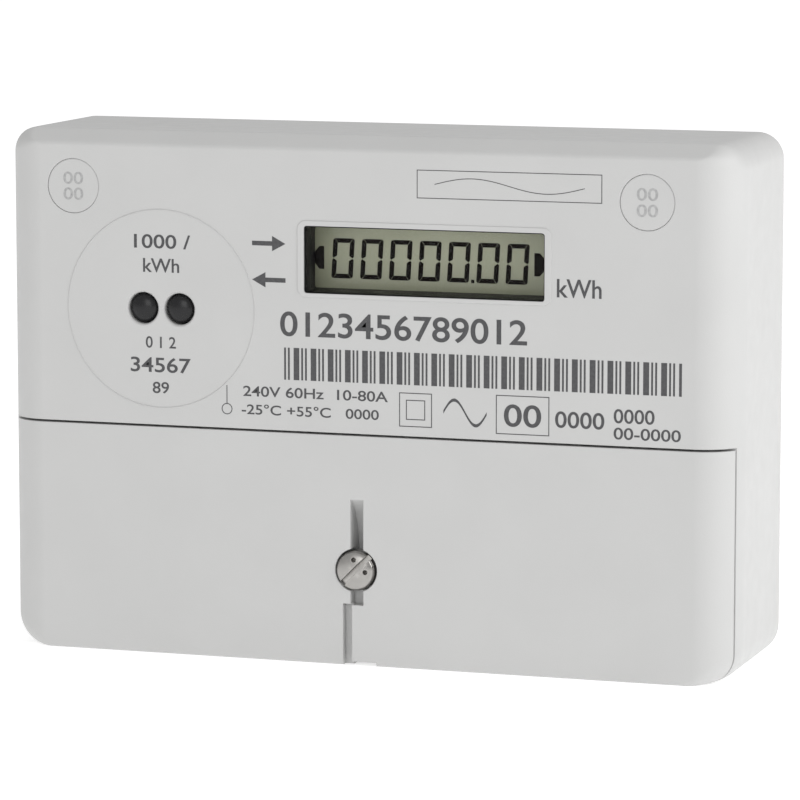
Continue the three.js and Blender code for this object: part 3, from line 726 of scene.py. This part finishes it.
def words(text, x0, x1, z0, z1, y, thickened=0.012, widest=1.3):
    """Plain characters filling the height of a box on the face, and its width as far as looks natural."""
    curve = bpy.data.curves.new("words", "FONT")
    curve.body = text
    curve.offset = thickened
    carrier = bpy.data.objects.new("words", curve)
    bpy.context.scene.collection.objects.link(carrier)
    shown = carrier.evaluated_get(bpy.context.evaluated_depsgraph_get())
    mesh = bpy.data.meshes.new_from_object(shown)
    bpy.data.objects.remove(carrier)
    across = [vertex.co.x for vertex in mesh.vertices]
    up = [vertex.co.y for vertex in mesh.vertices]
    fit_z = (z1 - z0) / (max(up) - min(up))
    fit_x = min((x1 - x0) / (max(across) - min(across)), fit_z * widest)
    middle_u = (min(across) + max(across)) / 2
    for vertex in mesh.vertices:
        u, v = vertex.co.x, vertex.co.y
        vertex.co = ((x0 + x1) / 2 + (u - middle_u) * fit_x, y, z0 + (v - min(up)) * fit_z)
    piece = bpy.data.objects.new("words", mesh)
    bpy.context.scene.collection.objects.link(piece)
    return piece


def bar(x0, x1, z0, z1):
    return [(x0, z0), (x1, z0), (x1, z1), (x0, z1)]


def frame_outline(x0, x1, z0, z1, line):
    """The four bars of a rectangle drawn with a thin line."""
    return [
        bar(x0, x1, z0, z0 + line),
        bar(x0, x1, z1 - line, z1),
        bar(x0, x0 + line, z0 + line, z1 - line),
        bar(x1 - line, x1, z0 + line, z1 - line),
    ]


def ring_outline(x, z, radius, line, sides=96):
    """A thin circle as short four-sided pieces."""
    inner, outer = radius - line / 2, radius + line / 2
    turns = [2 * math.pi * i / sides for i in range(sides + 1)]
    points = [(math.cos(turn), math.sin(turn)) for turn in turns]
    return [
        [(x + inner * c0, z + inner * s0), (x + outer * c0, z + outer * s0),
         (x + outer * c1, z + outer * s1), (x + inner * c1, z + inner * s1)]
        for (c0, s0), (c1, s1) in zip(points, points[1:])
    ]


def wave_outline(x0, x1, z, height, line, steps=32):
    """One period of a sine wave drawn with a thin line."""
    parts = [i / steps for i in range(steps + 1)]
    points = [(x0 + (x1 - x0) * part, z + height / 2 * math.sin(2 * math.pi * part)) for part in parts]
    return [
        [(ax, az - line / 2), (bx, bz - line / 2), (bx, bz + line / 2), (ax, az + line / 2)]
        for (ax, az), (bx, bz) in zip(points, points[1:])
    ]


def arrow_outline(x0, x1, z, half):
    """A plain arrow with its head at x1."""
    head = x0 + (x1 - x0) * 0.6
    direction = 1 if x1 > x0 else -1
    shaft = bar(*sorted((x0, head)), z - half * 0.3, z + half * 0.3)
    return [shaft, [(head, z - half), (x1, z), (head, z + half)][::direction]]


def barcode_outlines(x0, x1, z0, z1):
    """Bars in an arithmetic pattern that stands for a barcode and encodes nothing."""
    unit = 0.34
    bars = []
    x = x0
    i = 0
    while x < x1:
        wide = unit * (1 + (i * i + 2 * i) % 3)
        bars.append(bar(x, min(x + wide, x1), z0, z1))
        x += wide + unit * (1 + (i * 5 + i // 3) % 2)
        i += 1
    return bars


def build_symbols(y):
    """The barcode, the arrows beside the window and the plain signs in the rating lines."""
    line, wave_line = 0.16, 0.55
    arrow_tail, arrow_tip, arrow_half = -19.4, -13.4, 1.3
    bulb_x, bulb_z, bulb_radius, stem_top = -24.05, 43.1, 0.9, 47.15
    shapes = [
        *barcode_outlines(-13.7, 55.8, 48.5, 54.0),
        *frame_outline(6.8, 12.6, 41.4, 47.2, line),
        *frame_outline(8.0, 11.4, 42.6, 46.0, line),
        *frame_outline(23.8, 33.1, 40.9, 47.5, line),
        *wave_outline(14.6, 22.2, 44.2, 4.2, wave_line),
        bar(bulb_x - line / 2, bulb_x + line / 2, bulb_z + bulb_radius, stem_top),
        *ring_outline(bulb_x, bulb_z, bulb_radius, line, 32),
        *arrow_outline(arrow_tail, arrow_tip, 71.6, arrow_half),
        *arrow_outline(arrow_tip, arrow_tail, 65.4, arrow_half),
    ]
    return flat("shapes", shapes, y)


def build_printing():
    """Generic characters, numbers and symbols where the meter carries its print."""
    y = FRONT - 0.012
    rating_row, range_row = (45.4, 47.2), (42.3, 44.1)
    after_frame, line_start, line_end = 34.1, 44.2, 55.7
    pieces = [
        build_symbols(y),
        words("kWh", 34.3, 42.0, 64.2, 67.3, y),
        words("0123456789012", -14.4, 29.2, 55.9, 60.2, y),
        words("1000 /", PORT_X - 6.0, PORT_X + 6.6, 70.1, 72.5, y),
        words("kWh", PORT_X - 3.2, PORT_X + 3.4, 66.0, 68.4, y),
        words("0 1 2", PORT_X - 2.8, PORT_X + 2.7, 53.0, 55.0, y),
        words("34567", PORT_X - 5.6, PORT_X + 5.4, 48.8, 51.4, y),
        words("89", PORT_X - 1.6, PORT_X + 1.4, 45.2, 47.2, y),
        words("240V 60Hz  10-80A", -22.0, 5.7, *rating_row, y),
        words("-25°C +55°C   0000", -21.4, 3.2, *range_row, y),
        words("00", 25.2, 31.7, 42.2, 46.0, y),
        words("0000", after_frame, 42.6, 42.4, 45.2, y),
        words("0000", line_start, 51.2, 43.6, 46.0, y),
        words("00-0000", line_start, line_end, 40.9, 42.9, y),
    ]
    place(join("printing", pieces), "meter_body", "dark_moulding", look=print_ink)
    thin = 0.14
    badge = [
        *frame_outline(9.9, 42.0, 80.0, 84.8, thin),
        *wave_outline(13.0, 39.0, 82.4, 2.2, thin),
    ]
    place(flat("badge_lines", badge, y), "meter_body", "dark_moulding", look=print_ink)


# ---------------------------------------------------------------- display


def build_window():
    """The clear pane, a little smaller all round than the opening that holds it."""
    x0, x1, z0, z1 = OPENING
    liner, recessed, thickness = 0.25, 0.15, 1.1
    depth = (FRONT + recessed, INNER_FRONT + thickness)
    sides = (x0 + liner, x1 - liner)
    pane = soft_block("window_pane", *sides, *depth, z0 + liner, z1 - liner, corner=0.5, edge=0.1)
    place(pane, "meter_body", "window_clear", replaces=["display_window"])


def build_well():
    """The dark frame round the glass and the walls that lead from it up to the face."""
    x0, x1, z0, z1 = OPENING
    depth = (INNER_FRONT + 1.4, well_high.y)
    well = soft_block("display_well", well_low.x, well_high.x, *depth, well_low.z, well_high.z)
    liner_depth = (FRONT + 0.12, INNER_FRONT + 3)
    add(well, soft_block("liner", x0, x1, *liner_depth, z0, z1, corner=0.5, edge=0.05))
    room = Vector((GAP, GAP, GAP))
    low, high = glass_low - room, glass_high + room
    skin = 0.18
    undercut = 0.8  # the throat widens to the left on its way to the glass
    corner = 0.4
    right, heights = x1 - skin, (z0 + skin, z1 - skin)
    front_end = rounded_ring(x0 + skin, right, *heights, FRONT - PAST, corner, corner)
    pane_end = [(x, INNER_FRONT, z) for x, _, z in front_end]
    glass_end = rounded_ring(x0 + skin - undercut, right, *heights, glass_low.y, corner, corner)
    cut(
        well,
        block("pocket", low.x, high.x, low.y, BACK, low.z, high.z),
        loft("throat", [front_end, pane_end, glass_end]),
    )
    place(well, "meter_body", "dark_moulding", replaces=["display_holder"])


def build_glass():
    sides, depth = (glass_low.x, glass_high.x), (glass_low.y, glass_high.y)
    glass = soft_block("crystal_glass", *sides, *depth, glass_low.z, glass_high.z, corner=0.3, edge=0.15)
    place(glass, "meter_body", "display_glass", replaces=["display_glass"])


DIGIT = {"wide": 3.85, "high": 6.85, "stroke": 0.84, "gap": 0.06, "pitch": 5.16, "count": 7, "slant": 0.06}


def zero_outlines(left, bottom):
    """The six lit segments of a zero."""
    w, h, s, g = DIGIT["wide"], DIGIT["high"], DIGIT["stroke"], DIGIT["gap"]
    middle = h / 2
    clip = 0.3
    flat_segment = [(g + clip, 0), (w - g - clip, 0), (w - s, s - g), (s, s - g)]
    point = middle - g / 2
    tip = [(s, point - s * 0.5), (s * 0.3, point), (0, point - s * 0.3)]
    side_segment = [(0, clip), (clip, 0), (s, s), *tip]
    shapes = [
        flat_segment,
        [(u, h - v) for u, v in flat_segment],
        side_segment,
        [(w - u, v) for u, v in side_segment],
        [(u, h - v) for u, v in side_segment],
        [(w - u, h - v) for u, v in side_segment],
    ]
    return [[(left + u + DIGIT["slant"] * v, bottom + v) for u, v in shape] for shape in shapes]


def marker_outline(x0, x1, z0, z1, outward):
    """A block with its two outer corners cut off; outward is 1 to the right and -1 to the left."""
    cut_x = (x1 - x0) * 0.5
    cut_z = (z1 - z0) * 0.28
    shape = [(x0, z0), (x1 - cut_x, z0), (x1, z0 + cut_z), (x1, z1 - cut_z), (x1 - cut_x, z1), (x0, z1)]
    if outward < 0:
        shape = [(x0 + x1 - u, v) for u, v in shape]
    return shape


def build_segments():
    """Seven zeros, a decimal point before the last two, and a marker at each end."""
    x0, x1, z0, z1 = OPENING
    seen_left, seen_low = 1.5, 3.85  # how far the zeros lie left of and below the window's middle
    wide = (DIGIT["count"] - 1) * DIGIT["pitch"] + DIGIT["wide"]
    left = (x0 + x1 - wide) / 2 - seen_left
    right = left + wide
    bottom = (z0 + z1) / 2 - seen_low
    shapes = []
    for i in range(DIGIT["count"]):
        shapes += zero_outlines(left + i * DIGIT["pitch"], bottom)
    whole_digits, point_half = 5, 0.28
    point_x = left + whole_digits * DIGIT["pitch"] - 0.6
    shapes.append(bar(point_x - point_half, point_x + point_half, bottom - 0.05, bottom + 0.55))
    marker_z = (bottom + 1.5, bottom + 5.4)
    shapes.append(marker_outline(left - 3.0, left - 1.25, *marker_z, -1))
    shapes.append(marker_outline(right + 1.2, right + 3.1, *marker_z, 1))
    segments = flat("display_segments", shapes, glass_low.y - 0.02)
    place(segments, "meter_body", "display_glass", look=segment_ink)


# ---------------------------------------------------------------- pieces behind the covers


def softened(name, node, body, slot, width, segments=2):
    """A copy of a CAD node's surface with its sharp edges rounded."""
    bm = bmesh.new()
    bm.from_mesh(frame["nodes"][node].data)
    bmesh.ops.scale(bm, vec=(1 / MM,) * 3, verts=bm.verts)
    bmesh.ops.remove_doubles(bm, verts=bm.verts, dist=0.001)
    bmesh.ops.dissolve_limit(bm, angle_limit=math.radians(1), verts=bm.verts, edges=bm.edges)
    piece = new_piece(name, bm)
    bevel = piece.modifiers.new("bevel", "BEVEL")
    bevel.width = width
    bevel.segments = segments
    bevel.limit_method = "ANGLE"
    bevel.angle_limit = math.radians(40)
    bake(piece)
    return place(piece, body, slot, replaces=[node])


def build_inside():
    """The inner pieces, with the edge rounding that their material and making give them."""
    rounding = {
        "terminal_moulding": 0.35,
        "base_moulding": 0.25,
        "brass": 0.25,
        "copper": 0.15,
        "resistance_alloy": 0.1,
        "chip_black": 0.1,
        "film_yellow": 0.5,
        "contact_rubber": 0.2,
        "can_metal": 0.3,
        "ceramic_blue": 0.6,
        "board": 0.05,
    }
    bodies = frame["record"]["behaviour"]["bodies"]
    for subpart in frame["record"]["subparts"]:
        node, slot = subpart["node"], subpart["material_slot"]
        if slot in rounding:
            body = next(name for name, nodes in bodies.items() if node in nodes)
            softened(f"{node}_soft", node, body, slot, rounding[slot])


# ---------------------------------------------------------------- the object

build_main_cover()
build_terminal_cover()
build_cover_screw()
build_clamp_screws()
for plug_side, (plug_x, plug_z) in PLUGS.items():
    build_plug(plug_side, plug_x, plug_z)
build_lenses()
build_printing()
build_window()
build_well()
build_glass()
build_segments()
build_inside()


# ---------------------------------------------------------------- floor, light and camera


def build_floor(half=6000, top=-0.02, bottom=-20):
    """A pale floor just under the meter, a little bright of itself so that it stays nearly white."""
    floor = block("floor", -half, half, -half, half, bottom, top)
    floor.data.transform(Matrix.Scale(MM, 4))
    recipe = Recipe("floor")
    tone = recipe.ramp(recipe.noise(300, detail=2), [(0.3, (0.9, 0.9, 0.9)), (0.7, (0.93, 0.93, 0.93))])
    recipe.set(Base_Color=tone, Roughness=0.9, Specular_IOR_Level=0.1)
    recipe.set(Emission_Color=(1, 1, 1, 1), Emission_Strength=0.46)
    floor.data.materials.append(recipe.material)


def build_light(name, place_mm, target_mm, size, power):
    """A square soft lamp aimed at a point; size is in metres and power in watts."""
    lamp = bpy.data.lights.new(name, "AREA")
    lamp.shape = "SQUARE"
    lamp.size = size
    lamp.energy = power
    holder = bpy.data.objects.new(name, lamp)
    holder.location = Vector(place_mm) * MM
    aim = (Vector(target_mm) - Vector(place_mm)).normalized()
    holder.rotation_mode = "QUATERNION"
    holder.rotation_quaternion = aim.to_track_quat("-Z", "Y")
    bpy.context.scene.collection.objects.link(holder)


def build_world(strength):
    world = bpy.data.worlds.new("studio")
    world.use_nodes = True
    background = world.node_tree.nodes["Background"]
    background.inputs["Color"].default_value = (1, 1, 1, 1)
    background.inputs["Strength"].default_value = strength
    bpy.context.scene.world = world


def build_camera():
    """A long lens, a little to the right of the meter and above it."""
    turn, tilt, distance, lens = math.radians(18.2), math.radians(7.75), 760.2, 203.5
    target = Vector((6.95, FRONT, 45.9))
    away = Vector((math.sin(turn) * math.cos(tilt), -math.cos(turn) * math.cos(tilt), math.sin(tilt)))
    data = bpy.data.cameras.new("camera")
    data.lens = lens
    data.sensor_width = 36
    data.dof.use_dof = False
    data.clip_end = 50
    camera = bpy.data.objects.new("camera", data)
    camera.location = (target + away * distance) * MM
    camera.rotation_mode = "QUATERNION"
    camera.rotation_quaternion = (-away).to_track_quat("-Z", "Y")
    bpy.context.scene.collection.objects.link(camera)
    bpy.context.scene.camera = camera


build_floor()
build_world(0.63)
case_middle = (0, 0, HEIGHT / 2)
build_light("right_softbox", (1000, -150, 620), case_middle, size=0.8, power=6.9)
build_light("front_softbox", (0, -1100, 380), case_middle, size=0.5, power=1.6)
build_camera()
bpy.context.scene.view_settings.view_transform = "Standard"
